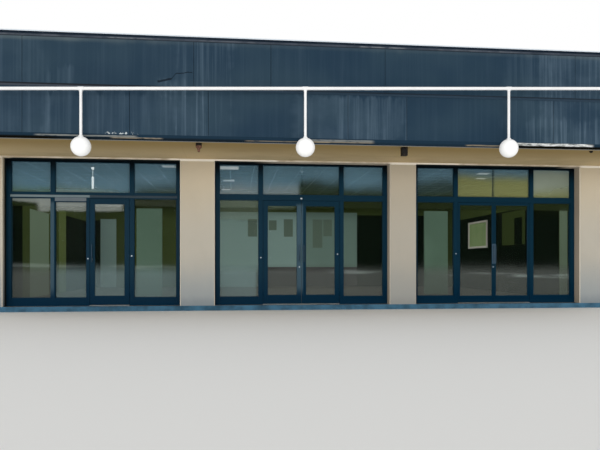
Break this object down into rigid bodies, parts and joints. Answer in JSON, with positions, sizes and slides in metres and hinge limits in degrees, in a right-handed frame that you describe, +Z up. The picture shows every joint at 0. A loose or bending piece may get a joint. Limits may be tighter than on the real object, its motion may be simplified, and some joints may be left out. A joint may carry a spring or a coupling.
{
  "type": "supermarket building",
  "caption": "One-storey strip retail building with glazed shopfront bays, hinged doors and a deep dark fascia over a walkway.",
  "frame": {"origin": "middle of the floor slab's underside, on the ground", "axes": "+X along the shopfront to the right as seen from the street, +Y from the street to the back, +Z up"},
  "size_m": [15.68, 14.6523, 5.675],
  "materials": {
    "slab_concrete": "weathered concrete",
    "wall_render": "painted render, dusty",
    "roof_felt": "grey roofing felt with grit",
    "cap_metal": "dull painted sheet",
    "ceiling_board": "matt mineral board",
    "partition_board": "matt painted plasterboard",
    "trim_paint": "cream paint",
    "soffit_render": "ochre painted render",
    "canopy_steel": "primer grey",
    "backing_board": "grey coated board",
    "cladding_paint": "faded dark blue paint, streaked",
    "band_metal": "weathered grey brown paint",
    "coping_metal": "dark paint with a pale worn edge",
    "frame_paint": "dark blue powder coat",
    "threshold_metal": "worn satin",
    "rail_paint": "white gloss paint",
    "lamp_paint": "dark brown paint",
    "pull_metal": "satin",
    "tinted_glass": "green grey tint",
    "opal_glass": "white opal"
  },
  "bodies": {
    "building": {"floor_slab": "slab_concrete", "left_end_pier": "wall_render", "left_pier": "wall_render", "right_pier": "wall_render", "right_end_pier": "wall_render", "front_beam": "wall_render", "left_wall": "wall_render", "right_wall": "wall_render", "back_wall": "wall_render", "roof_deck": "roof_felt", "wall_caps": "cap_metal", "ceiling": "ceiling_board", "partitions": "partition_board", "wall_trim": "trim_paint", "soffit": "soffit_render", "canopy_frame": "canopy_steel", "fascia_backing": "backing_board", "fascia_upper": "cladding_paint", "fascia_lower": "cladding_paint", "fascia_returns": "cladding_paint", "fascia_band": "band_metal", "fascia_coping": "coping_metal", "frame_left": "frame_paint", "frame_middle": "frame_paint", "frame_right": "frame_paint", "shopfront_glass": "tinted_glass", "thresholds": "threshold_metal", "light_rail": "rail_paint", "globes": "opal_glass", "soffit_lamps": "lamp_paint"},
    "door_left": {"door_left": "frame_paint", "door_left_glass": "tinted_glass", "door_left_pull": "pull_metal"},
    "door_middle_a": {"door_middle_a": "frame_paint", "door_middle_a_glass": "tinted_glass", "door_middle_a_pull": "pull_metal"},
    "door_middle_b": {"door_middle_b": "frame_paint", "door_middle_b_glass": "tinted_glass", "door_middle_b_pull": "pull_metal"},
    "door_right_a": {"door_right_a": "frame_paint", "door_right_a_glass": "tinted_glass", "door_right_a_pull": "pull_metal"},
    "door_right_b": {"door_right_b": "frame_paint", "door_right_b_glass": "tinted_glass", "door_right_b_pull": "pull_metal"}
  },
  "joints": [
    {"name": "door_left_swing", "type": "hinge", "parent": "building", "child": "door_left", "pos_m": [-4.169, -5.76, 1.385], "axis": [0, 0, 1], "range_deg": [0, 90]},
    {"name": "door_middle_a_swing", "type": "hinge", "parent": "building", "child": "door_middle_a", "pos_m": [-1.001, -5.76, 1.385], "axis": [0, 0, -1], "range_deg": [0, 90]},
    {"name": "door_middle_b_swing", "type": "hinge", "parent": "building", "child": "door_middle_b", "pos_m": [0.871, -5.76, 1.385], "axis": [0, 0, 1], "range_deg": [0, 90]},
    {"name": "door_right_a_swing", "type": "hinge", "parent": "building", "child": "door_right_a", "pos_m": [3.889, -5.76, 1.385], "axis": [0, 0, -1], "range_deg": [0, 90]},
    {"name": "door_right_b_swing", "type": "hinge", "parent": "building", "child": "door_right_b", "pos_m": [5.761, -5.76, 1.385], "axis": [0, 0, 1], "range_deg": [0, 90]}
  ]
}
